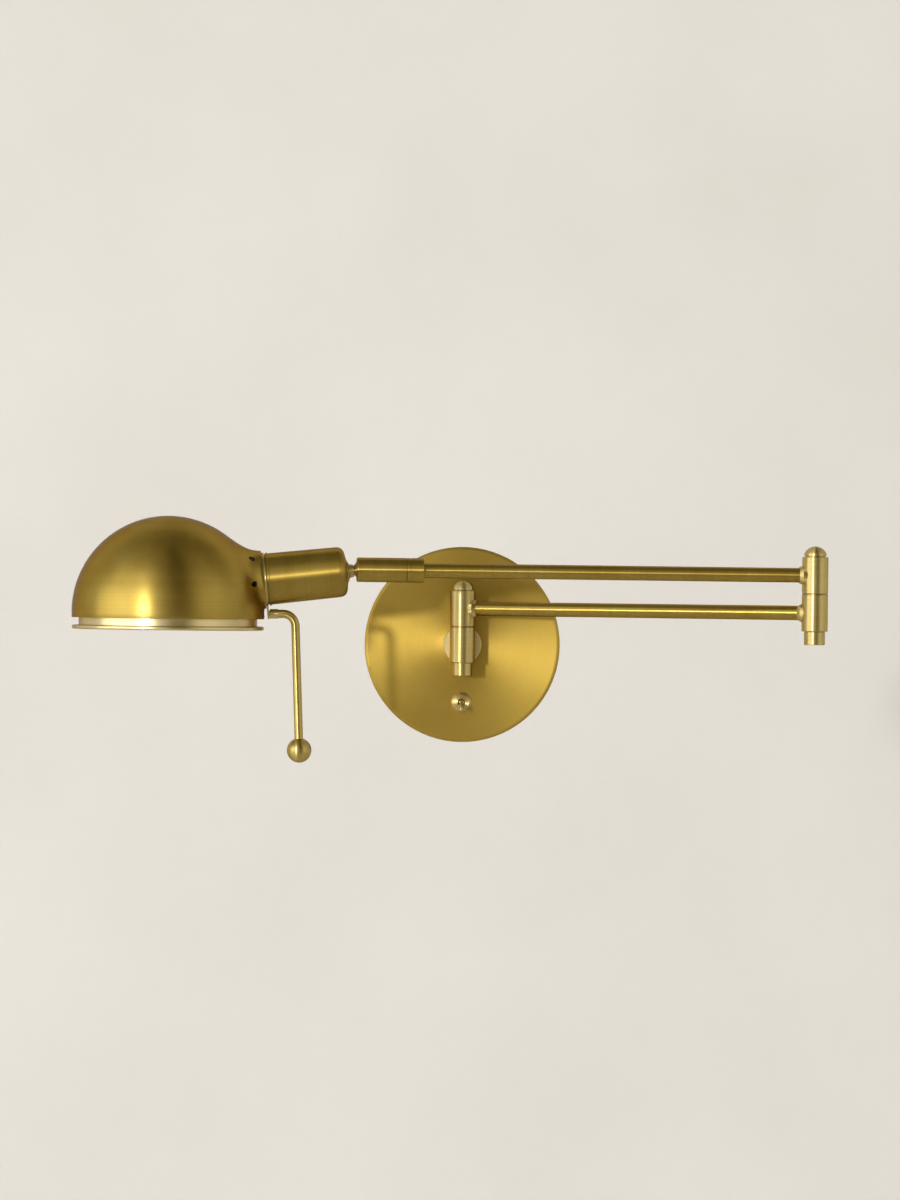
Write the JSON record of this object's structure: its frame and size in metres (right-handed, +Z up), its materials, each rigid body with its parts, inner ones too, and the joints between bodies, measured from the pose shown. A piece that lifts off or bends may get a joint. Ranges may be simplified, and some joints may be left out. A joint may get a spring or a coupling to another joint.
{
  "type": "articulating wall light",
  "caption": "Swing-arm wall light with a round canopy, two arms on vertical pivots, a ball-jointed sleeve, a domed task shade on its side and a steering rod.",
  "frame": {"origin": "centre of the canopy on the wall plane, midway between the box-screw slots", "axes": "+Z up, +Y into the wall, +X to the right for someone who faces the wall; the light reaches towards -Y"},
  "size_m": [0.4906, 0.2205, 0.1586],
  "materials": {
    "brass": "satin aged brass, brushed, under clear lacquer",
    "brass_turned": "turned brass, finer brushing, under clear lacquer",
    "steel": "zinc plated",
    "ground_green": "green coated steel",
    "black_plastic": "moulded",
    "bronze": "phosphor bronze sheet",
    "nylon": "moulded nylon",
    "phenolic": "dark moulded phenolic",
    "contact_brass": "bright stamped sheet",
    "bulb_metal": "bright rolled thread",
    "bulb_glass": "frosted"
  },
  "bodies": {
    "fixture": {"mounting_bracket": "steel", "canopy_set_screws": "brass_turned", "ground_screw": "ground_green", "canopy": "brass", "wall_boss": "brass", "wall_nipple": "steel", "nipple_lock_washer": "steel", "nipple_hex_nut": "steel", "wall_fixed_barrel": "brass", "wall_pivot_pin": "steel", "wall_pivot_cap": "brass_turned", "wall_pivot_nut": "brass_turned", "wall_friction_washer": "bronze", "switch_body": "black_plastic", "switch_bushing": "brass_turned", "switch_back_nut": "steel", "switch_dress_nut": "brass_turned"},
    "toggle": {"switch_lever": "brass_turned"},
    "lower_arm": {"lower_arm_wall_barrel": "brass", "lower_arm_tube": "brass", "lower_arm_elbow_barrel": "brass", "elbow_pin": "steel", "elbow_cap": "brass_turned", "elbow_nut": "brass_turned", "elbow_friction_washer": "bronze"},
    "upper_arm": {"upper_arm_barrel": "brass", "upper_arm_tube": "brass", "swivel_collar": "brass", "swivel_keeper_nut": "steel"},
    "swivel": {"swivel_sleeve": "brass", "swivel_bush": "steel", "seat_stop_ring": "steel", "seat_spring_washer": "steel", "ball_seat_cup": "nylon"},
    "head": {"ball_stud": "brass_turned", "stud_lock_nut": "brass_turned", "stud_inner_nut": "steel", "socket_housing": "brass", "lampholder": "phenolic", "lampholder_shell": "contact_brass", "lampholder_contact": "contact_brass", "handle_plate": "brass", "handle_ferrule": "brass_turned", "handle_rod": "brass", "handle_ball": "brass_turned", "shade": "brass", "shade_neck_ring": "steel", "shade_trim_ring": "brass", "bulb_base": "bulb_metal", "bulb_glass": "bulb_glass"}
  },
  "joints": [
    {"name": "wall_pivot", "type": "hinge", "parent": "fixture", "child": "lower_arm", "pos_m": [0, -0.041, 0.0246], "axis": [0, 0, 1], "range_deg": [-158.4, 21.6]},
    {"name": "elbow_pivot", "type": "hinge", "parent": "lower_arm", "child": "upper_arm", "pos_m": [0.22947, -0.13185, 0.0492], "axis": [0, 0, 1], "range_deg": [-8, 317.6]},
    {"name": "head_swivel", "type": "hinge", "parent": "upper_arm", "child": "swivel", "pos_m": [-0.06555, -0.15041, 0.0492], "axis": [-0.998, -0.0628, 0], "range_deg": [-90, 90]},
    {"name": "head_tilt", "type": "hinge", "parent": "swivel", "child": "head", "pos_m": [-0.06555, -0.15041, 0.0492], "axis": [-0.0628, 0.998, 0], "range_deg": [-13.6, 26.4]},
    {"name": "switch_toggle", "type": "hinge", "parent": "fixture", "child": "toggle", "pos_m": [0, -0.022, -0.0395], "axis": [-1, 0, 0], "range_deg": [0, 30]}
  ]
}
